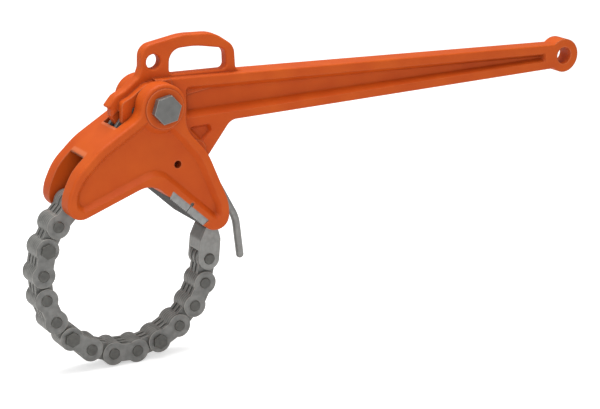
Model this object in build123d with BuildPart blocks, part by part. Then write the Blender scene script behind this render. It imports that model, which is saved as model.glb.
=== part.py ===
from build123d import *
from math import acos, asin, atan2, cos, degrees, hypot, radians, sin, tan
import os

# A chain pipe tong. X runs along the handle, Y along the pipe, Z is up, and the
# origin lies on the axis of the gripped pipe, half way across the jaw.

# Gripped pipe and the two seat lines of the jaw, each named by its normal
PIPE_RADIUS = 114.3
LEFT_SEAT_ANGLE = 110.0
RIGHT_SEAT_ANGLE = 47.3
SEAT_RELIEF_RADIUS = 36.0
RIGHT_SEAT_SETBACK = 2.7

# Jaw casting
JAW_WIDTH = 100.0
JAW_GAP = 48.0
JAW_EDGE_FILLET = 4.0
LEFT_REACH = 104.2
LEFT_TOE_RADIUS = 22.0
RIGHT_REACH = 154.0
RIGHT_TOE_WIDTH = 31.3
RIGHT_TOE_RADIUS = 21.0
BOSS_RADIUS = 36.0
PAD_RADIUS = 30.0
PAD_HEIGHT = 2.0
PANEL_DEPTH = 9.0
PANEL_DRAFT = 40.0
PANEL_RIM = 13.0
PANEL_SEAT_RIM = 9.5
PANEL_INSERT_RIM = 20.0
PANEL_BOSS_RADIUS = 32.0
TOP_WEB_THICKNESS = 12.0
TOP_WEB_START = (32.0, PIPE_RADIUS + 61.7)
SEAT_WEB_THICKNESS = 12.0
SEAT_WEB_LEFT = 38.0
SEAT_WEB_RIGHT = 38.0
NOSE_SWEEP_RADIUS = 70.0
SIDE_HOLE_PLACE = (73.5, PIPE_RADIUS + 39.4)
SIDE_HOLE_DIAMETER = 11.5

# Toothed inserts, sunk in the right arm of the jaw
INSERT_LENGTH = 38.5
INSERT_HEIGHT = 12.0
INSERT_SPLIT = 1.0
INSERT_OFFSET = 5.0
INSERT_DOVETAIL = 14.0
INSERT_CLEARANCE = 0.15
INSERT_SIDE_STEP = 1.0
TOOTH_PITCH = 3.2
TOOTH_DEPTH = 1.6
TOOTH_STAND_OFF = 0.7
KEY_PIN_DIAMETER = 6.0
KEY_PIN_RISE = 2.6

# Pivot bolt and its bush
PIVOT = (50.0, PIPE_RADIUS + 127.7)
BOLT_DIAMETER = 25.4
BOLT_HEAD_FLATS = 38.1
BOLT_HEAD_HEIGHT = 10.0
BOLT_HEAD_TURN = 12.0
BOLT_STUB = 6.0
BOLT_FIT = 0.05
WASHER_DIAMETER = 50.0
WASHER_THICKNESS = 4.0
NUT_HEIGHT = 20.0
BUSH_DIAMETER = 33.0

# Handle casting
HUB_WIDTH = 45.5
HUB_RADIUS = 34.0
HANDLE_WIDTH = 42.0
HANDLE_END_WIDTH = 30.0
HANDLE_EDGE_FILLET = 3.0
ROOT_X = 204.0
ROOT_TOP = PIPE_RADIUS + 160.2
ROOT_BOTTOM = PIPE_RADIUS + 90.7
END_TOP = PIPE_RADIUS + 142.7
END_BOTTOM = PIPE_RADIUS + 103.2
RING_PLACE = (794.0, PIPE_RADIUS + 122.7)
RING_RADIUS = 27.5
RING_WIDTH = 30.0
RING_HOLE_DIAMETER = 28.0
FLANGE_THICKNESS = 13.5
WEB_THICKNESS = 12.0
CHANNEL_START_X = 98.0
CHANNEL_DRAFT = 31.0
CHANNEL_CORNER = 6.0
GUSSET_END_X = 173.0
POCKET_DEPTH = 6.0
POCKET_DRAFT = 35.0
LUG_PLACE = (112.5, PIPE_RADIUS + 51.2)
LUG_RADIUS = 16.5
STOP_RADIUS = 12.0
STOP_GAP = 0.3
GRIP_WIDTH = 19.0
GRIP_EDGE_FILLET = 3.5
EYE_PLACE = (53.0, PIPE_RADIUS + 188.7)
EYE_DIAMETER = 22.0

# Chain, laced four plates over three
CHAIN_PITCH = 38.1
PLATE_HEIGHT = 36.0
PLATE_WAIST = 27.0
PLATE_SPACING = 5.5
PLATE_GAP = 0.2
PIN_DIAMETER = 17.0
PIN_PROUD = 2.5
PIN_CHAMFER = 1.2
PIN_FIT = 0.06
CHAIN_STAND_OFF = 1.5
FIRST_PIN_INSET = 22.9
LATCH_SPAN = 83.0
JOINING_HEAD_FLATS = 20.5
JOINING_HEAD_HEIGHT = 5.0
JOINING_PINS = (2, 6, 10)

# Anchor plates, from the handle's nose to the first chain pin
ANCHOR_PLACE = (18.5, PIPE_RADIUS + 122.2)
ANCHOR_PIN_DIAMETER = 16.4
ANCHOR_EYE_RADIUS = 13.0
ANCHOR_HEIGHT = 22.0
ANCHOR_CLEARANCE = 1.2
ANCHOR_SWING = 16.5

# Latch, on the last chain pin, and the pin that it hooks over
HOOK_INSET = 20.0
HOOK_RISE = 29.0
HOOK_PIN_DIAMETER = 16.0
HOOK_PIN_DEPTH = 12.0
HOOK_CLEARANCE = 0.5
HOOK_SIDE_ROOM = 2.5
LATCH_LOBE_RADIUS = 17.0
LATCH_BLOCK_START = 21.0
ROD_DIAMETER = 12.0
ROD_ROUTE = ((2.0, 24.0), (17.0, 40.0), (54.5, -30.0), (61.5, -90.0))
ROD_BENDS = (12.0, 60.0)

half_jaw = JAW_WIDTH / 2
half_gap = JAW_GAP / 2
half_hub = HUB_WIDTH / 2
plate_thickness = PLATE_SPACING - PLATE_GAP
right_distance = PIPE_RADIUS + RIGHT_SEAT_SETBACK
insert_back = PIPE_RADIUS + TOOTH_STAND_OFF + INSERT_HEIGHT
chain_radius = PIPE_RADIUS + PLATE_HEIGHT / 2 + CHAIN_STAND_OFF
link_turn = degrees(2 * asin(CHAIN_PITCH / 2 / chain_radius))
first_pin_angle = degrees(acos((FIRST_PIN_INSET - LEFT_REACH) / chain_radius))
right_toe_foot = RIGHT_REACH - RIGHT_TOE_WIDTH
right_toe_drop = right_distance - right_toe_foot * cos(radians(RIGHT_SEAT_ANGLE))
right_toe_height = right_toe_drop / sin(radians(RIGHT_SEAT_ANGLE))
hook_place = (RIGHT_REACH - HOOK_INSET, right_toe_height + HOOK_RISE)
wrapped_angle = 360 + degrees(atan2(hook_place[1], hook_place[0])) - first_pin_angle
latch_angle = degrees(2 * asin(LATCH_SPAN / 2 / chain_radius))
link_count = 2 * round((wrapped_angle - latch_angle) / link_turn / 2)


def polar(radius, angle):
    """The point at this radius and angle, in degrees from +X towards +Z."""
    return radius * cos(radians(angle)), radius * sin(radians(angle))


def over_pipe(x, rise):
    """The point at this X and this height above the top of the pipe."""
    return x, PIPE_RADIUS + rise


def shifted(place, radius, angle):
    """A place moved by this length in the direction of the angle."""
    return place[0] + radius * cos(radians(angle)), place[1] + radius * sin(radians(angle))


def bearing(start, end):
    """The direction from one place to another, in degrees from +X towards +Z."""
    return degrees(atan2(end[1] - start[1], end[0] - start[0]))


def meet(distance_a, angle_a, distance_b, angle_b):
    """Where two lines cross, each given by its normal and its distance from the pipe axis."""
    ax, az = polar(1, angle_a)
    bx, bz = polar(1, angle_b)
    cross = ax * bz - az * bx
    return (distance_a * bz - distance_b * az) / cross, (ax * distance_b - bx * distance_a) / cross


def on_seat(distance, along):
    """A point of the right seat, this far outside the pipe axis and along the seat line."""
    return shifted(polar(distance, RIGHT_SEAT_ANGLE), along, RIGHT_SEAT_ANGLE - 90)


def side_plane(y=0, origin=(0, 0), angle=0):
    """A plane at this Y seen from the front: its X runs at the angle, its normal is -Y."""
    return Plane(
        origin=(origin[0], y, origin[1]),
        x_dir=(cos(radians(angle)), 0, sin(radians(angle))),
        z_dir=(0, -1, 0),
    )


def rounded(corners, mode=Mode.ADD):
    """A face through corners given as ((x, z), corner radius)."""
    with BuildLine() as outline:
        FilletPolyline(*[place for place, _ in corners], radius=[radius for _, radius in corners], close=True)
    make_face(outline.edges(), mode=mode)


def inset(corners, distance):
    """The outline drawn in on every side by this distance, with its corner radii to match."""
    places = [place for place, _ in corners]
    following = places[1:] + places[:1]
    area = sum(a[0] * b[1] - a[1] * b[0] for a, b in zip(places, following))
    side = 1 if area > 0 else -1
    drawn_in = []
    for index, (place, radius) in enumerate(corners):
        arriving = bearing(places[index - 1], place)
        turn = (bearing(place, following[index]) - arriving + 180) % 360 - 180
        moved = shifted(place, distance / cos(radians(turn / 2)), arriving + turn / 2 + 90 * side)
        tightening = distance if turn * side > 0 else -distance
        drawn_in.append((moved, max(radius - tightening, 1.0)))
    return drawn_in


def pin_place(number):
    """The centre of a chain pin, counted from the one at the jaw's left toe."""
    return polar(chain_radius, first_pin_angle + number * link_turn)


top_slope = (END_TOP - ROOT_TOP) / (RING_PLACE[0] - ROOT_X)
bottom_slope = (END_BOTTOM - ROOT_BOTTOM) / (RING_PLACE[0] - ROOT_X)


def beam_top(x):
    """The height of the handle's upper edge at this X."""
    return ROOT_TOP + top_slope * (x - ROOT_X)


def beam_bottom(x):
    """The height of the handle's lower edge at this X."""
    return ROOT_BOTTOM + bottom_slope * (x - ROOT_X)


# The side outline of the jaw. The corners inside the boss circle only close the outline.
seat_apex = meet(PIPE_RADIUS, LEFT_SEAT_ANGLE, right_distance, RIGHT_SEAT_ANGLE)
jaw_corners = [
    (meet(PIPE_RADIUS, LEFT_SEAT_ANGLE, LEFT_REACH, 180), LEFT_TOE_RADIUS),
    (over_pipe(-LEFT_REACH, 11.2), 55.0),
    (over_pipe(16.2 - LEFT_REACH, 45.7), 80.0),
    (over_pipe(52.2 - LEFT_REACH, 79.0), 110.0),
    (shifted(PIVOT, 30.0, 190), 0),
    (shifted(PIVOT, 34.5, -10), 0),
    (over_pipe(86.0, 91.7), 40.0),
    (over_pipe(RIGHT_REACH - 33.0, 50.7), 80.0),
    ((RIGHT_REACH, right_toe_height + 40.0), 60.0),
    ((RIGHT_REACH, right_toe_height), RIGHT_TOE_RADIUS),
    ((right_toe_foot, right_toe_height), RIGHT_TOE_RADIUS - 1),
    (seat_apex, SEAT_RELIEF_RADIUS),
]
with BuildSketch() as jaw_profile:
    rounded(jaw_corners)
    with Locations(PIVOT):
        Circle(BOSS_RADIUS)
    boss_joins = jaw_profile.vertices().sort_by_distance((PIVOT[0], PIVOT[1], 0))[:3]
    fillet(boss_joins.sort_by(Axis.X)[0], 25.0)

# The recess of the jaw's side, with drafted walls, kept clear of the pivot's pad.
panel_foot = right_toe_height + 18.0
panel_corners = [
    (meet(PIPE_RADIUS + PANEL_SEAT_RIM, LEFT_SEAT_ANGLE, LEFT_REACH - PANEL_RIM, 180), 14.0),
    (over_pipe(PANEL_RIM - LEFT_REACH, 16.7), 30.0),
    (over_pipe(26.2 - LEFT_REACH, 39.7), 50.0),
    (over_pipe(58.2 - LEFT_REACH, 69.3), 80.0),
    (shifted(PIVOT, PANEL_BOSS_RADIUS - 6, 211), 0),
    (shifted(PIVOT, PANEL_BOSS_RADIUS - 6, 290), 0),
    (over_pipe(84.0, 77.7), 30.0),
    (over_pipe(110.0, 44.7), 80.0),
    ((RIGHT_REACH - PANEL_RIM, panel_foot + 19.0), 24.0),
    ((RIGHT_REACH - PANEL_RIM, panel_foot), 7.0),
    (meet(PIPE_RADIUS + PANEL_INSERT_RIM, RIGHT_SEAT_ANGLE, panel_foot, 90), 8.0),
    (
        meet(PIPE_RADIUS + PANEL_SEAT_RIM, LEFT_SEAT_ANGLE, PIPE_RADIUS + PANEL_INSERT_RIM, RIGHT_SEAT_ANGLE),
        26.0,
    ),
]
with BuildPart() as panel:
    for depth in (0, PANEL_DEPTH):
        drawn_in = depth * tan(radians(PANEL_DRAFT))
        with BuildSketch(side_plane(depth - half_jaw)):
            rounded(inset(panel_corners, drawn_in))
            with Locations(PIVOT):
                Circle(PANEL_BOSS_RADIUS + drawn_in, mode=Mode.SUBTRACT)
    loft(ruled=True)

os.makedirs("parts", exist_ok=True)

# Jaw: two cheeks joined by webs, with a pocket for the inserts.
handle_stop_low = over_pipe(128.0, 31.7)
handle_stop_high = over_pipe(100.0, 53.7)
stop_facing = bearing(handle_stop_low, handle_stop_high) + 90
stop_place = shifted(
    ((handle_stop_low[0] + handle_stop_high[0]) / 2, (handle_stop_low[1] + handle_stop_high[1]) / 2),
    STOP_RADIUS + STOP_GAP,
    stop_facing,
)
insert_low = INSERT_OFFSET - INSERT_SPLIT / 2 - INSERT_LENGTH
insert_high = INSERT_OFFSET + INSERT_SPLIT / 2 + INSERT_LENGTH
dovetail_run = tan(radians(INSERT_DOVETAIL))
pocket_floor_low = insert_low - INSERT_CLEARANCE
pocket_floor_high = insert_high + INSERT_CLEARANCE
pocket_mouth = right_distance - 8
pocket_narrowing = (insert_back - pocket_mouth) * dovetail_run
key_pin_place = on_seat(insert_back + KEY_PIN_RISE, INSERT_OFFSET)
jaw_mid_corners = [
    (on_seat(insert_back + SEAT_WEB_THICKNESS, SEAT_WEB_RIGHT), 4.0),
    (on_seat(right_distance - 20, SEAT_WEB_RIGHT), 0),
    (shifted(seat_apex, 30.0, -90), 0),
    (shifted(meet(PIPE_RADIUS, LEFT_SEAT_ANGLE, SEAT_WEB_LEFT, 180), 20.0, -90), 0),
    (meet(PIPE_RADIUS + SEAT_WEB_THICKNESS, LEFT_SEAT_ANGLE, SEAT_WEB_LEFT, 180), 4.0),
    (
        meet(
            PIPE_RADIUS + SEAT_WEB_THICKNESS,
            LEFT_SEAT_ANGLE,
            insert_back + SEAT_WEB_THICKNESS,
            RIGHT_SEAT_ANGLE,
        ),
        30.0,
    ),
]
anchor_bearing = bearing(ANCHOR_PLACE, pin_place(0))
top_web_start = (TOP_WEB_START[0] - LEFT_REACH, TOP_WEB_START[1])
with BuildSketch() as jaw_webs:
    add(jaw_profile.sketch)
    offset(amount=-TOP_WEB_THICKNESS, kind=Kind.INTERSECTION, mode=Mode.SUBTRACT)
    rounded(
        [
            (top_web_start, 0),
            (shifted(top_web_start, 60.0, 150), 0),
            (over_pipe(-60.0, 135.7), 0),
            (PIVOT, 0),
        ],
        mode=Mode.INTERSECT,
    )
    with Locations(PIVOT):
        Circle(NOSE_SWEEP_RADIUS, mode=Mode.SUBTRACT)
    with Locations(Location((*ANCHOR_PLACE, 0), (0, 0, anchor_bearing))):
        Rectangle(4 * ANCHOR_HEIGHT * 2, ANCHOR_HEIGHT + 4, mode=Mode.SUBTRACT)
    rounded(jaw_mid_corners)
    with Locations(stop_place):
        Circle(STOP_RADIUS)
with BuildPart() as jaw_opening:
    with BuildSketch(side_plane(0)):
        Rectangle(4 * PIVOT[1], 4 * PIVOT[1])
        add(jaw_webs.sketch, mode=Mode.SUBTRACT)
    extrude(amount=half_gap, both=True)
with BuildPart() as jaw:
    with BuildSketch(side_plane(0)):
        add(jaw_profile.sketch)
    extrude(amount=half_jaw, both=True)
    fillet(jaw.faces().filter_by(Axis.Y).edges(), JAW_EDGE_FILLET)
    add(panel.part, mode=Mode.SUBTRACT)
    add(panel.part.mirror(Plane.XZ), mode=Mode.SUBTRACT)
    with BuildSketch(side_plane(0, PIVOT)):
        Circle(PAD_RADIUS)
    extrude(amount=half_jaw + PAD_HEIGHT, both=True)
    add(jaw_opening.part, mode=Mode.SUBTRACT)
    with BuildSketch(side_plane(0)):
        rounded(
            [
                (on_seat(insert_back, pocket_floor_low), 0),
                (on_seat(insert_back, pocket_floor_high), 0),
                (on_seat(pocket_mouth, pocket_floor_high - pocket_narrowing), 0),
                (on_seat(pocket_mouth, pocket_floor_low + pocket_narrowing), 0),
            ]
        )
        with Locations(PIVOT):
            Circle(BOLT_DIAMETER / 2 + BOLT_FIT)
        with Locations(key_pin_place):
            Circle(KEY_PIN_DIAMETER / 2)
        with Locations(SIDE_HOLE_PLACE):
            Circle(SIDE_HOLE_DIAMETER / 2)
    extrude(amount=JAW_WIDTH, both=True, mode=Mode.SUBTRACT)
    with BuildSketch(side_plane(-half_gap - HOOK_PIN_DEPTH, hook_place)):
        Circle(HOOK_PIN_DIAMETER / 2)
    extrude(amount=-JAW_WIDTH, mode=Mode.SUBTRACT)
jaw.part.label = "jaw"
export_step(jaw.part, "parts/jaw.step")

# Inserts: two hardened blocks with dovetailed outer ends and teeth along the pipe.
for name, low, high, low_slope, high_slope in (
    ("jaw_insert_upper", insert_low, insert_low + INSERT_LENGTH, dovetail_run, 0),
    ("jaw_insert_lower", insert_high - INSERT_LENGTH, insert_high, 0, dovetail_run),
):
    tooth_tip = insert_back - INSERT_HEIGHT
    tooth_root = tooth_tip + TOOTH_DEPTH
    root_rise = insert_back - tooth_root
    teeth_start = low + low_slope * root_rise
    teeth_end = high - high_slope * root_rise
    tooth_count = int((teeth_end - teeth_start) / TOOTH_PITCH)
    first_tooth = (teeth_start + teeth_end - tooth_count * TOOTH_PITCH) / 2
    teeth = [on_seat(tooth_root, teeth_start)]
    for tooth in range(tooth_count):
        teeth.append(on_seat(tooth_root, first_tooth + tooth * TOOTH_PITCH))
        teeth.append(on_seat(tooth_tip, first_tooth + (tooth + 0.5) * TOOTH_PITCH))
    teeth.append(on_seat(tooth_root, first_tooth + tooth_count * TOOTH_PITCH))
    teeth.append(on_seat(tooth_root, teeth_end))
    with BuildPart() as insert:
        with BuildSketch(side_plane(0)):
            with BuildLine():
                Polyline(*teeth, on_seat(insert_back, high), on_seat(insert_back, low), close=True)
            make_face()
            with Locations(key_pin_place):
                Circle(KEY_PIN_DIAMETER / 2, mode=Mode.SUBTRACT)
        extrude(amount=half_jaw - INSERT_SIDE_STEP, both=True)
    insert.part.label = name
    export_step(insert.part, f"parts/{name}.step")

# The key pin lies in a bore shared by the jaw and both inserts.
with BuildPart() as insert_pin:
    with BuildSketch(side_plane(0, key_pin_place)):
        Circle(KEY_PIN_DIAMETER / 2)
    extrude(amount=half_jaw - INSERT_SIDE_STEP, both=True)
insert_pin.part.label = "insert_pin"
export_step(insert_pin.part, "parts/insert_pin.step")

# Pivot bolt, put in from the front, with a washer and nut on the far side.
bolt_seat = half_jaw + PAD_HEIGHT
bolt_end = bolt_seat + WASHER_THICKNESS + NUT_HEIGHT + BOLT_STUB
with BuildPart() as pivot_bolt:
    with BuildSketch(side_plane(-bolt_seat, PIVOT)):
        Circle(BOLT_DIAMETER / 2)
    extrude(amount=-bolt_seat - bolt_end)
    chamfer(pivot_bolt.faces().sort_by(Axis.Y)[-1].edges(), 1.5)
    with BuildSketch(side_plane(-bolt_seat, PIVOT, BOLT_HEAD_TURN)):
        RegularPolygon(BOLT_HEAD_FLATS / 2, 6, major_radius=False)
    extrude(amount=BOLT_HEAD_HEIGHT)
    with BuildSketch(side_plane(-bolt_seat - BOLT_HEAD_HEIGHT, PIVOT)):
        Circle(BOLT_HEAD_FLATS / 2 + 4.5)
    extrude(amount=-BOLT_HEAD_HEIGHT - bolt_seat - bolt_end, mode=Mode.INTERSECT)
pivot_bolt.part.label = "pivot_bolt"
export_step(pivot_bolt.part, "parts/pivot_bolt.step")

with BuildPart() as pivot_washer:
    with BuildSketch(side_plane(bolt_seat, PIVOT)):
        Circle(WASHER_DIAMETER / 2)
        Circle(BOLT_DIAMETER / 2 + BOLT_FIT, mode=Mode.SUBTRACT)
    extrude(amount=-WASHER_THICKNESS)
pivot_washer.part.label = "pivot_washer"
export_step(pivot_washer.part, "parts/pivot_washer.step")

with BuildPart() as pivot_nut:
    with BuildSketch(side_plane(bolt_seat + WASHER_THICKNESS, PIVOT, BOLT_HEAD_TURN)):
        RegularPolygon(BOLT_HEAD_FLATS / 2, 6, major_radius=False)
        Circle(BOLT_DIAMETER / 2, mode=Mode.SUBTRACT)
    extrude(amount=-NUT_HEIGHT)
pivot_nut.part.label = "pivot_nut"
export_step(pivot_nut.part, "parts/pivot_nut.step")

# The pin that the latch hooks over, in a through bore of the far cheek and a blind bore of the near one.
with BuildPart() as hook_pin:
    with BuildSketch(side_plane(-half_gap - HOOK_PIN_DEPTH, hook_place)):
        Circle(HOOK_PIN_DIAMETER / 2)
    extrude(amount=-half_gap - HOOK_PIN_DEPTH - half_jaw + 1)
    chamfer(hook_pin.faces().sort_by(Axis.Y)[-1].edges(), 1.0)
hook_pin.part.label = "hook_pin"
export_step(hook_pin.part, "parts/hook_pin.step")

# Handle: hub with the nose, tapered I-beam, hand-hold plate, gusset with the stop, hanging ring.
beam_corners = [
    ((PIVOT[0], beam_top(PIVOT[0])), 0),
    ((RING_PLACE[0], beam_top(RING_PLACE[0])), 0),
    ((RING_PLACE[0], beam_bottom(RING_PLACE[0])), 0),
    ((GUSSET_END_X, beam_bottom(GUSSET_END_X)), 20.0),
    (handle_stop_low, 12.0),
    (handle_stop_high, 14.0),
    (over_pipe(84.0, 90.7), 30.0),
    (PIVOT, 0),
]
with BuildPart() as beam:
    with BuildSketch(side_plane(0)):
        rounded(beam_corners)
    extrude(amount=HANDLE_WIDTH / 2, both=True)
    with BuildSketch(Plane.XY):
        rounded(
            [
                ((0.0, -HANDLE_WIDTH / 2), 0),
                ((ROOT_X, -HANDLE_WIDTH / 2), 0),
                ((RING_PLACE[0], -HANDLE_END_WIDTH / 2), 0),
                ((RING_PLACE[0], HANDLE_END_WIDTH / 2), 0),
                ((ROOT_X, HANDLE_WIDTH / 2), 0),
                ((0.0, HANDLE_WIDTH / 2), 0),
            ]
        )
    extrude(amount=PIVOT[1] * 2, mode=Mode.INTERSECT)
    flange_edges = beam.faces().filter_by(Axis.Y, reverse=True).edges()
    fillet(flange_edges.filter_by(lambda e: e.length > RING_PLACE[0] / 2), HANDLE_EDGE_FILLET)
beam_channel_corners = [
    ((CHANNEL_START_X, beam_top(CHANNEL_START_X) - FLANGE_THICKNESS - 1), CHANNEL_CORNER),
    ((RING_PLACE[0] - RING_RADIUS - 6, END_TOP - FLANGE_THICKNESS + 4), CHANNEL_CORNER),
    ((RING_PLACE[0] - RING_RADIUS - 6, END_BOTTOM + FLANGE_THICKNESS - 4), CHANNEL_CORNER),
    ((CHANNEL_START_X, ROOT_BOTTOM + FLANGE_THICKNESS - 3), CHANNEL_CORNER),
]
gusset_pocket_corners = [
    (over_pipe(100.0, 87.7), 3.0),
    (over_pipe(137.0, 89.2), 5.0),
    (over_pipe(141.0, 77.7), 5.0),
    (over_pipe(123.0, 60.7), 3.0),
]
with BuildPart() as channel:
    channel_depth = (HANDLE_WIDTH - WEB_THICKNESS) / 2
    with BuildSketch(side_plane(-HANDLE_WIDTH / 2)):
        rounded(beam_channel_corners)
    with BuildSketch(side_plane(-WEB_THICKNESS / 2)):
        rounded(inset(beam_channel_corners, channel_depth * tan(radians(CHANNEL_DRAFT))))
    loft(ruled=True)
with BuildPart() as gusset_pocket:
    with BuildSketch(side_plane(-HANDLE_WIDTH / 2)):
        rounded(gusset_pocket_corners)
    with BuildSketch(side_plane(POCKET_DEPTH - HANDLE_WIDTH / 2)):
        rounded(inset(gusset_pocket_corners, POCKET_DEPTH * tan(radians(POCKET_DRAFT))))
    loft(ruled=True)
with BuildPart() as lug:
    with BuildSketch(side_plane(0)):
        rounded(beam_corners)
        with Locations(LUG_PLACE):
            Circle(LUG_RADIUS, mode=Mode.INTERSECT)
    extrude(amount=half_hub, both=True)

grip_corners = [
    (over_pipe(-7.0, 99.7), 0),
    (over_pipe(-15.5, 114.7), 8.0),
    (over_pipe(-15.5, 125.7), 3.0),
    (over_pipe(-23.0, 129.2), 2.5),
    (over_pipe(-10.0, 144.2), 14.0),
    (over_pipe(6.0, 152.2), 20.0),
    (over_pipe(28.0, 168.7), 8.0),
    (over_pipe(33.0, 181.7), 10.0),
    (over_pipe(34.0, 212.7), 20.0),
    (over_pipe(100.0, 224.7), 90.0),
    (over_pipe(152.0, 222.7), 50.0),
    (over_pipe(185.5, 199.7), 22.0),
    (over_pipe(187.5, 164.2), 8.0),
    ((207.0, beam_top(207.0) - 1), 0),
    (over_pipe(194.0, 147.7), 0),
    ((PIVOT[0], 240.0), 0),
]
grip_hole_corners = [
    (over_pipe(78.0, 167.7), 7.0),
    (over_pipe(79.0, 204.2), 20.0),
    (over_pipe(122.0, 205.7), 110.0),
    (over_pipe(171.0, 197.2), 13.0),
    (over_pipe(172.0, 166.2), 8.0),
]
with BuildPart() as grip:
    with BuildSketch(side_plane(0)):
        rounded(grip_corners)
        rounded(grip_hole_corners, mode=Mode.SUBTRACT)
        with Locations(EYE_PLACE):
            Circle(EYE_DIAMETER / 2, mode=Mode.SUBTRACT)
    extrude(amount=GRIP_WIDTH / 2, both=True)
    grip_rims = grip.faces().filter_by(Axis.Y).edges().filter_by(lambda e: e.center().Z > ROOT_TOP + 9)
    fillet(grip_rims, GRIP_EDGE_FILLET)

anchor_room = ANCHOR_EYE_RADIUS + ANCHOR_CLEARANCE
anchor_slot_half = plate_thickness / 2 + 0.3
swung_side = polar(anchor_room, anchor_bearing - ANCHOR_SWING - 90)
with BuildPart() as anchor_slots:
    for side in (-1, 1):
        with BuildSketch(side_plane(side * 2 * PLATE_SPACING, ANCHOR_PLACE)):
            Circle(anchor_room)
            rounded(
                [
                    (swung_side, 0),
                    (shifted(swung_side, 80.0, anchor_bearing - ANCHOR_SWING), 0),
                    (shifted(polar(anchor_room, anchor_bearing + 92), 80.0, anchor_bearing + 2), 0),
                    (polar(anchor_room, anchor_bearing + 92), 0),
                ]
            )
        extrude(amount=anchor_slot_half, both=True)

with BuildPart() as handle:
    add(beam.part)
    add(channel.part, mode=Mode.SUBTRACT)
    add(channel.part.mirror(Plane.XZ), mode=Mode.SUBTRACT)
    add(gusset_pocket.part, mode=Mode.SUBTRACT)
    add(gusset_pocket.part.mirror(Plane.XZ), mode=Mode.SUBTRACT)
    with BuildSketch(side_plane(0)):
        rounded(
            [
                (over_pipe(-6.0, 104.7), 5.0),
                (over_pipe(-5.0, 136.2), 8.0),
                (over_pipe(10.0, 143.2), 30.0),
                (over_pipe(34.0, 159.7), 14.0),
                ((74.0, beam_top(74.0)), 0),
                (over_pipe(84.0, 125.7), 0),
                ((PIVOT[0], PIVOT[1] - HUB_RADIUS), 0),
                (over_pipe(24.0, 101.7), 6.0),
            ]
        )
        with Locations(PIVOT):
            Circle(HUB_RADIUS)
    extrude(amount=half_hub, both=True)
    add(lug.part)
    with BuildSketch(side_plane(0, RING_PLACE)):
        Circle(RING_RADIUS)
    extrude(amount=RING_WIDTH / 2, both=True)
    add(grip.part)
    with BuildSketch(side_plane(0, RING_PLACE)):
        Circle(RING_HOLE_DIAMETER / 2)
    extrude(amount=HANDLE_WIDTH, both=True, mode=Mode.SUBTRACT)
    with BuildSketch(side_plane(0, PIVOT)):
        Circle(BUSH_DIAMETER / 2)
    extrude(amount=HUB_WIDTH, both=True, mode=Mode.SUBTRACT)
    with BuildSketch(side_plane(0, ANCHOR_PLACE)):
        Circle(ANCHOR_PIN_DIAMETER / 2)
    extrude(amount=HUB_WIDTH, both=True, mode=Mode.SUBTRACT)
    add(anchor_slots.part, mode=Mode.SUBTRACT)
handle.part.label = "handle"
export_step(handle.part, "parts/handle.step")

with BuildPart() as handle_bush:
    with BuildSketch(side_plane(0, PIVOT)):
        Circle(BUSH_DIAMETER / 2)
        Circle(BOLT_DIAMETER / 2 + BOLT_FIT, mode=Mode.SUBTRACT)
    extrude(amount=half_hub, both=True)
handle_bush.part.label = "handle_bush"
export_step(handle_bush.part, "parts/handle_bush.step")

with BuildPart() as anchor_pin:
    with BuildSketch(side_plane(0, ANCHOR_PLACE)):
        Circle(ANCHOR_PIN_DIAMETER / 2)
    extrude(amount=half_hub - 0.5, both=True)
    chamfer(anchor_pin.faces().filter_by(Axis.Y).edges(), 1.0)
anchor_pin.part.label = "anchor_pin"
export_step(anchor_pin.part, "parts/anchor_pin.step")

# Anchor plates astride the nose's middle tongue, and the ring that fills their middle at the first pin.
with BuildPart() as anchor_plates:
    anchor_reach = hypot(pin_place(0)[0] - ANCHOR_PLACE[0], pin_place(0)[1] - ANCHOR_PLACE[1])
    for side in (-1, 1):
        with BuildSketch(side_plane(side * 2 * PLATE_SPACING, ANCHOR_PLACE, anchor_bearing)):
            Circle(ANCHOR_EYE_RADIUS)
            with Locations((anchor_reach, 0)):
                Circle(PLATE_HEIGHT / 2)
            with Locations((anchor_reach / 2, 0)):
                Rectangle(anchor_reach, ANCHOR_HEIGHT)
            Circle(ANCHOR_PIN_DIAMETER / 2 + PIN_FIT, mode=Mode.SUBTRACT)
            with Locations((anchor_reach, 0)):
                Circle(PIN_DIAMETER / 2 + PIN_FIT, mode=Mode.SUBTRACT)
        extrude(amount=plate_thickness / 2, both=True)
anchor_plates.part.label = "anchor_plates"
export_step(anchor_plates.part, "parts/anchor_plates.step")

with BuildPart() as anchor_spacer:
    with BuildSketch(side_plane(0, pin_place(0))):
        Circle(PLATE_HEIGHT / 2 - 3)
        Circle(PIN_DIAMETER / 2 + PIN_FIT, mode=Mode.SUBTRACT)
    extrude(amount=plate_thickness / 2, both=True)
anchor_spacer.part.label = "anchor_spacer"
export_step(anchor_spacer.part, "parts/anchor_spacer.step")

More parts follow.
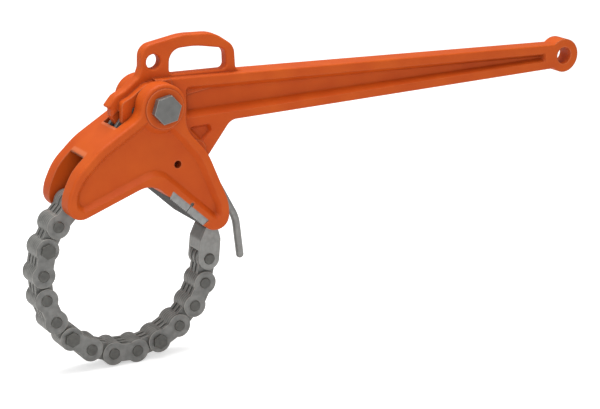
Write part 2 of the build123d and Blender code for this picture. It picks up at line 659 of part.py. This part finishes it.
# Chain: outer links have four plates and two riveted pins, inner links three plates.
outer_rows = [row * PLATE_SPACING for row in (-3, -1, 1, 3)]
inner_rows = [row * PLATE_SPACING for row in (-2, 0, 2)]
outer_face = 3 * PLATE_SPACING + plate_thickness / 2
pin_half_length = outer_face + PIN_PROUD
for number in range(link_count):
    is_outer = number % 2 == 0
    start = pin_place(number)
    link_bearing = bearing(start, pin_place(number + 1))
    bore_radius = PIN_DIAMETER / 2 + (0 if is_outer else PIN_FIT)
    with BuildPart() as plates:
        for row in outer_rows if is_outer else inner_rows:
            with BuildSketch(side_plane(row, start, link_bearing)):
                with Locations((0, 0), (CHAIN_PITCH, 0)):
                    Circle(PLATE_HEIGHT / 2)
                with Locations((CHAIN_PITCH / 2, 0)):
                    Rectangle(CHAIN_PITCH, PLATE_WAIST)
                with Locations((0, 0), (CHAIN_PITCH, 0)):
                    Circle(bore_radius, mode=Mode.SUBTRACT)
            extrude(amount=plate_thickness / 2, both=True)
    name = f"link_{number + 1:02d}_plates"
    plates.part.label = name
    export_step(plates.part, f"parts/{name}.step")
    if not is_outer:
        continue
    with BuildPart() as pins:
        for end in (number, number + 1):
            with BuildSketch(side_plane(0, pin_place(end), link_bearing)):
                Circle(PIN_DIAMETER / 2)
            extrude(amount=pin_half_length, both=True)
        chamfer(pins.faces().filter_by(Axis.Y).edges(), PIN_CHAMFER)
        for end in (number, number + 1):
            if end in JOINING_PINS:
                with BuildSketch(side_plane(-outer_face, pin_place(end), link_bearing)):
                    RegularPolygon(JOINING_HEAD_FLATS / 2, 6, major_radius=False)
                extrude(amount=JOINING_HEAD_HEIGHT)
                with BuildSketch(side_plane(outer_face, pin_place(end), link_bearing)):
                    RegularPolygon(JOINING_HEAD_FLATS / 2, 6, major_radius=False)
                extrude(amount=-JOINING_HEAD_HEIGHT)
    name = f"link_{number + 1:02d}_pins"
    pins.part.label = name
    export_step(pins.part, f"parts/{name}.step")

# Latch: two side plates on the last pin, blocks between them, and the rod that swings them.
latch_place = pin_place(link_count)
latch_bearing = bearing(latch_place, hook_place)
hook_reach = hypot(hook_place[0] - latch_place[0], hook_place[1] - latch_place[1])
finger_reach = hook_reach + HOOK_PIN_DIAMETER / 2 + HOOK_CLEARANCE
neck_left = -HOOK_PIN_DIAMETER / 2 - HOOK_SIDE_ROOM
latch_corners = [
    ((0.0, LATCH_LOBE_RADIUS), 0),
    ((31.0, 14.0), 14.0),
    ((49.0, 5.5), 6.0),
    ((62.0, neck_left + 1), 5.0),
    ((finger_reach - 3.0, neck_left), 6.0),
    ((finger_reach - 0.6, 10.0), 3.0),
    ((finger_reach + 16.0, 10.0), 8.0),
    ((finger_reach + 29.0, -4.0), 12.0),
    ((finger_reach + 29.0, -15.0), 8.0),
    ((hook_reach + 6.0, -23.0), 20.0),
    ((49.0, -14.5), 14.0),
    ((30.0, -19.5), 12.0),
    ((0.0, -LATCH_LOBE_RADIUS), 0),
]
with BuildSketch() as latch_profile:
    rounded(latch_corners)
    Circle(LATCH_LOBE_RADIUS)
    with BuildLine() as notch_roof:
        neck_angle = degrees(asin(neck_left / finger_reach))
        ThreePointArc(polar(finger_reach, 8), polar(finger_reach, 0), polar(finger_reach, neck_angle))
        Line(notch_roof.vertices().sort_by(Axis.Y)[0].center(), (hook_reach, neck_left))
        Line((hook_reach, neck_left), polar(finger_reach - 12, 8))
        Line(polar(finger_reach - 12, 8), polar(finger_reach, 8))
    make_face(notch_roof.edges(), mode=Mode.SUBTRACT)
with BuildPart() as latch_plates:
    for side in (-1, 1):
        with BuildSketch(side_plane(side * 3 * PLATE_SPACING, latch_place, latch_bearing)):
            add(latch_profile.sketch)
            Circle(PIN_DIAMETER / 2, mode=Mode.SUBTRACT)
        extrude(amount=plate_thickness / 2, both=True)
latch_plates.part.label = "latch_plates"
export_step(latch_plates.part, "parts/latch_plates.step")

rod_places = [(hook_place[0] + x, hook_place[1] + z) for x, z in ROD_ROUTE]
with BuildPart() as latch_rod:
    with BuildLine(side_plane(0)) as rod_line:
        FilletPolyline(*rod_places, radius=ROD_BENDS)
    with BuildSketch(Plane(origin=rod_line.line @ 0, z_dir=rod_line.line % 0)):
        Circle(ROD_DIAMETER / 2)
    sweep(path=rod_line.line)
    with Locations(rod_line.line @ 1):
        Sphere(ROD_DIAMETER / 2)
latch_rod.part.label = "latch_rod"
export_step(latch_rod.part, "parts/latch_rod.step")

with BuildPart() as latch_block:
    with BuildSketch(side_plane(0, latch_place, latch_bearing)):
        add(latch_profile.sketch)
        Circle(LATCH_BLOCK_START, mode=Mode.SUBTRACT)
    extrude(amount=outer_face - plate_thickness, both=True)
    add(latch_rod.part, mode=Mode.SUBTRACT)
latch_block.part.label = "latch_block"
export_step(latch_block.part, "parts/latch_block.step")

with BuildPart() as latch_pin:
    with BuildSketch(side_plane(0, latch_place)):
        Circle(PIN_DIAMETER / 2)
    extrude(amount=pin_half_length, both=True)
    chamfer(latch_pin.faces().filter_by(Axis.Y).edges(), PIN_CHAMFER)
latch_pin.part.label = "latch_pin"
export_step(latch_pin.part, "parts/latch_pin.step")
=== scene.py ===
import bpy
import math
from mathutils import Matrix, Vector


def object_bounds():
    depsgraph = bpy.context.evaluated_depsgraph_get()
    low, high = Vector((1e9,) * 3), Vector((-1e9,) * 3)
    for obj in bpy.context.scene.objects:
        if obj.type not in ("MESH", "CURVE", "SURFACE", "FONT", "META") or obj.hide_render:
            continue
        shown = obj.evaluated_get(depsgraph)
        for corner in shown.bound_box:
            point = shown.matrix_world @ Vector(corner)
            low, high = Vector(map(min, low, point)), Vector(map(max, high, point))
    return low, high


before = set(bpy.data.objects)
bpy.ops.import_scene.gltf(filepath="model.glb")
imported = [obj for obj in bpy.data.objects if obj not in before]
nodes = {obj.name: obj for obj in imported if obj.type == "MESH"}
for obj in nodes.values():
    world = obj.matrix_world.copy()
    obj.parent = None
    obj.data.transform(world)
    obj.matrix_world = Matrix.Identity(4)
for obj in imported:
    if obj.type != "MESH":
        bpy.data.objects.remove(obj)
cad_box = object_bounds()
bpy.ops.object.select_all(action="DESELECT")


# The jaw and the handle are ductile iron sand castings, fettled and dip painted orange.
# The paint lies over the grain of the cast skin. Painted shade darkens the tight hollows,
# and a painted highlight makes the outer edges paler.
def linear(hex_colour):
    """An sRGB hex colour as linear red, green, blue and an alpha of 1."""
    parts = [int(hex_colour[i : i + 2], 16) / 255 for i in (1, 3, 5)]
    return [p / 12.92 if p <= 0.04045 else ((p + 0.055) / 1.055) ** 2.4 for p in parts] + [1.0]


def add_node(tree, kind, settings=None, **links):
    """Adds a node, sets its properties and inputs, and links inputs by name, or by number as i0."""
    node = tree.nodes.new(kind)
    for name, value in (settings or {}).items():
        if hasattr(node, name):
            setattr(node, name, value)
        else:
            node.inputs[name].default_value = value
    for name, source in links.items():
        socket = int(name[1:]) if name[1:].isdigit() else name
        tree.links.new(source, node.inputs[socket])
    return node


def mix_colours(tree, share, start, end):
    """Mixes from one colour to another by a share. Each colour is a hex text or a socket."""
    mix = add_node(tree, "ShaderNodeMix", {"data_type": "RGBA"}, i0=share)
    for number, colour in ((6, start), (7, end)):
        if isinstance(colour, str):
            mix.inputs[number].default_value = linear(colour)
        else:
            tree.links.new(colour, mix.inputs[number])
    return mix.outputs[2]


def surface(name, dark, light, edge_highlight, patch, grain, depth, softness, highlight_share, **sockets):
    """A material with two tones in patches, a painted highlight on its outer edges and a fine grain,
    sizes in metres.
    """
    material = bpy.data.materials.new(name)
    material.use_nodes = True
    tree = material.node_tree
    shader = tree.nodes["Principled BSDF"]
    for socket, value in sockets.items():
        shader.inputs[socket.replace("_", " ")].default_value = value
    coords = add_node(tree, "ShaderNodeTexCoord").outputs["Object"]
    patches = add_node(tree, "ShaderNodeTexNoise", {"Scale": 1 / patch, "Detail": 3.0}, Vector=coords)
    tone_range = {"From Min": 0.3, "From Max": 0.7}
    tone = add_node(tree, "ShaderNodeMapRange", tone_range, Value=patches.outputs["Fac"])
    softened = add_node(tree, "ShaderNodeBevel", {"samples": 6, "Radius": softness}).outputs["Normal"]
    # Painted highlight: inside occlusion finds the thin outer edges, and they are mixed towards a
    # paler edge colour.
    seen_inside = {"samples": 8, "inside": True, "only_local": True, "Distance": softness}
    thin = add_node(tree, "ShaderNodeAmbientOcclusion", seen_inside)
    edge_range = {"From Min": 0.85, "From Max": 0.5, "To Max": highlight_share}
    edge = add_node(tree, "ShaderNodeMapRange", edge_range, Value=thin.outputs["AO"])
    body = mix_colours(tree, tone.outputs["Result"], dark, light)
    colour = mix_colours(tree, edge.outputs["Result"], body, edge_highlight)
    tree.links.new(colour, shader.inputs["Base Color"])
    speckle = add_node(tree, "ShaderNodeTexNoise", {"Scale": 1 / grain, "Detail": 2.0}, Vector=coords)
    skin = {"Strength": depth, "Distance": grain / 4}
    skin = add_node(tree, "ShaderNodeBump", skin, Height=speckle.outputs["Fac"], Normal=softened)
    tree.links.new(skin.outputs["Normal"], shader.inputs["Normal"])
    return material, tree, shader, colour


def dress(material, *names):
    """Gives these CAD nodes the material."""
    for name in names:
        mesh = nodes[name].data
        mesh.materials.clear()
        mesh.materials.append(material)


orange_paint, tree, shader, colour = surface(
    "orange_enamel_on_sand_casting",
    dark="#CA5010",
    light="#D35A14",
    edge_highlight="#E88A5E",
    patch=0.045,
    grain=0.0016,
    depth=0.14,
    softness=0.003,
    highlight_share=0.45,
    Roughness=0.5,
    Specular_IOR_Level=0.25,
)
# Painted shade: the colour darkens towards a deep red-brown in the hollows that occlusion finds.
hollow = add_node(tree, "ShaderNodeAmbientOcclusion", {"samples": 8, "Distance": 0.02})
shade_range = {"From Min": 0.4, "From Max": 0.85, "To Min": 0.6, "To Max": 0.0}
shade = add_node(tree, "ShaderNodeMapRange", shade_range, Value=hollow.outputs["AO"])
painted_shade_colour = mix_colours(tree, shade.outputs["Result"], colour, "#7A2408")
tree.links.new(painted_shade_colour, shader.inputs["Base Color"])
dress(orange_paint, "jaw", "handle")

# The chain's plates are stamped from heat treated steel and keep a dull grey scale
# with a fine tumbled grain. Their edges get a painted highlight, a little brighter than their faces.
plate_steel, *_ = surface(
    "tumbled_chain_plate_steel",
    dark="#797977",
    light="#939390",
    edge_highlight="#D2CFC5",
    patch=0.011,
    grain=0.0012,
    depth=0.12,
    softness=0.0012,
    highlight_share=0.7,
    Metallic=0.5,
    Roughness=0.5,
)
plate_nodes = [name for name in nodes if name.endswith("_plates") and name != "latch_plates"]
dress(plate_steel, "anchor_spacer", *plate_nodes)

# The chain's pins are turned and hardened, and riveted over in the outer plates.
# Their ends are darker than the plates, with a faint oily patchiness.
pin_steel, *_ = surface(
    "oiled_turned_pin_steel",
    dark="#5A5A57",
    light="#6A6A66",
    edge_highlight="#9A9890",
    patch=0.006,
    grain=0.0008,
    depth=0.1,
    softness=0.0008,
    highlight_share=0.5,
    Metallic=0.5,
    Roughness=0.42,
)
pin_nodes = [name for name in nodes if name.endswith("_pins")]
dress(pin_steel, "latch_pin", "anchor_pin", "hook_pin", "insert_pin", *pin_nodes)

# The pivot bolt has a forged hexagon head in plain steel, machined on its face and
# rounded at the corners by the trimming die. Its washer, nut and bush match it.
bolt_steel, *_ = surface(
    "plain_forged_bolt_steel",
    dark="#787876",
    light="#848482",
    edge_highlight="#C2C0B8",
    patch=0.012,
    grain=0.001,
    depth=0.1,
    softness=0.0014,
    highlight_share=0.7,
    Metallic=0.6,
    Roughness=0.42,
)
dress(bolt_steel, "pivot_bolt", "pivot_washer", "pivot_nut", "handle_bush")

# The toothed inserts are case hardened tool steel with ground sides. The teeth, which face
# the pipe, are painted darker as shade, so the row of points reads.
insert_steel, tree, shader, colour = surface(
    "ground_tool_steel",
    dark="#939392",
    light="#ABABA9",
    edge_highlight="#DEDDD8",
    patch=0.008,
    grain=0.0006,
    depth=0.1,
    softness=0.0003,
    highlight_share=0.6,
    Metallic=0.5,
    Roughness=0.4,
)
# Painted shade: faces that do not face sideways, the teeth, are mixed towards a dark grey.
facing = add_node(tree, "ShaderNodeTexCoord").outputs["Normal"]
sideways = add_node(tree, "ShaderNodeSeparateXYZ", Vector=facing).outputs["Y"]
side_facing_share = add_node(tree, "ShaderNodeMath", {"operation": "ABSOLUTE"}, i0=sideways).outputs["Value"]
teeth_painted_shade = mix_colours(tree, side_facing_share, "#3A3936", colour)
tree.links.new(teeth_painted_shade, shader.inputs["Base Color"])
dress(insert_steel, "jaw_insert_upper", "jaw_insert_lower")

# The latch has two steel plates with a block between them and a bent round bar to
# swing it by. All of them have a dull zinc plating, slightly mottled.
latch_steel, *_ = surface(
    "zinc_plated_latch_steel",
    dark="#8C8C89",
    light="#9E9E9B",
    edge_highlight="#C4C3BD",
    patch=0.007,
    grain=0.0009,
    depth=0.08,
    softness=0.001,
    highlight_share=0.4,
    Metallic=0.5,
    Roughness=0.4,
)
dress(latch_steel, "latch_plates", "latch_block", "latch_rod")

# The tong stands on a white floor that keeps a soft shadow, under a broad light above
# and a weaker one at the front. The even pale sky shows white behind it, and
# reflections see it darker than it shines.
FLOOR_SIZE = 40.0
FLOOR_GAP = 0.0005
FLOOR_LEVEL = cad_box[0][2] - FLOOR_GAP
bpy.ops.mesh.primitive_plane_add(size=FLOOR_SIZE, location=(0.3, 0.0, FLOOR_LEVEL))
floor = bpy.context.object
floor.name = "floor"
floor_paint = bpy.data.materials.new("white_floor")
floor_paint.use_nodes = True
tree = floor_paint.node_tree
tree.nodes.clear()
output = add_node(tree, "ShaderNodeOutputMaterial")
FLOOR_WHITE = (0.82, 0.82, 0.82, 1.0)
FLOOR_GLOW = 0.55
matt = add_node(tree, "ShaderNodeBsdfDiffuse", {"Color": FLOOR_WHITE})
ray = add_node(tree, "ShaderNodeLightPath")
glow_range = {"To Max": FLOOR_GLOW}
gain = add_node(tree, "ShaderNodeMapRange", glow_range, Value=ray.outputs["Is Camera Ray"])
glow = add_node(tree, "ShaderNodeEmission", Strength=gain.outputs["Result"])
both = add_node(tree, "ShaderNodeAddShader", i0=matt.outputs["BSDF"], i1=glow.outputs["Emission"])
tree.links.new(both.outputs["Shader"], output.inputs["Surface"])
floor.data.materials.append(floor_paint)

SKY_LIGHT = 0.5
SKY_REFLECTED = 0.25
SKY_SEEN = 1.0
world = bpy.data.worlds.new("even_sky")
bpy.context.scene.world = world
world.use_nodes = True
tree = world.node_tree
sky = tree.nodes["Background"]
sky.inputs["Color"].default_value = (1.0, 1.0, 1.0, 1.0)
ray = add_node(tree, "ShaderNodeLightPath")
unseen_range = {"To Min": SKY_LIGHT, "To Max": SKY_REFLECTED}
unseen = add_node(tree, "ShaderNodeMapRange", unseen_range, Value=ray.outputs["Is Glossy Ray"])
level = add_node(tree, "ShaderNodeMapRange", {"To Max": SKY_SEEN}, Value=ray.outputs["Is Camera Ray"])
tree.links.new(unseen.outputs["Result"], level.inputs["To Min"])
tree.links.new(level.outputs["Result"], sky.inputs["Strength"])


def area_light(name, place, target, size, power):
    """A square soft light at a place, aimed at a target."""
    bpy.ops.object.light_add(type="AREA", location=place)
    light = bpy.context.object
    light.name = name
    light.data.shape = "SQUARE"
    light.data.size = size
    light.data.energy = power
    light.rotation_euler = (Vector(place) - Vector(target)).to_track_quat("Z", "Y").to_euler()


area_light("top_light", place=(0.1, 0.1, 2.6), target=(0.3, 0.0, 0.1), size=2.2, power=62.0)
area_light("front_light", place=(-1.4, -2.4, 1.2), target=(0.2, 0.0, 0.1), size=1.8, power=18.0)

# The camera stands in front, to the left and above, as the photograph was taken.
# It looks a little to the right of the gripped pipe's axis and above it.
CAMERA_AZIMUTH = -29.494
CAMERA_ELEVATION = 16.488
CAMERA_DISTANCE = 2.7482
CAMERA_RIGHT = 0.2655
CAMERA_UP = 0.0876
CAMERA_ASIDE = 0.005
CAMERA_LENS = 110.6
CAMERA_SENSOR = 36.0
azimuth, elevation = math.radians(CAMERA_AZIMUTH), math.radians(CAMERA_ELEVATION)
level_distance = math.cos(elevation)
across, along = math.sin(azimuth) * level_distance, -math.cos(azimuth) * level_distance
back = Vector((across, along, math.sin(elevation)))
right = Vector((0.0, 0.0, 1.0)).cross(back).normalized()
up = back.cross(right)
target = right * CAMERA_RIGHT + up * CAMERA_UP + Vector((0.0, CAMERA_ASIDE, 0.0))
bpy.ops.object.camera_add(location=target + back * CAMERA_DISTANCE)
camera = bpy.context.object
camera.name = "camera"
camera.rotation_euler = Matrix((right, up, back)).transposed().to_euler()
camera.data.lens = CAMERA_LENS
camera.data.sensor_width = CAMERA_SENSOR
bpy.context.scene.camera = camera
bpy.context.scene.view_settings.view_transform = "Standard"
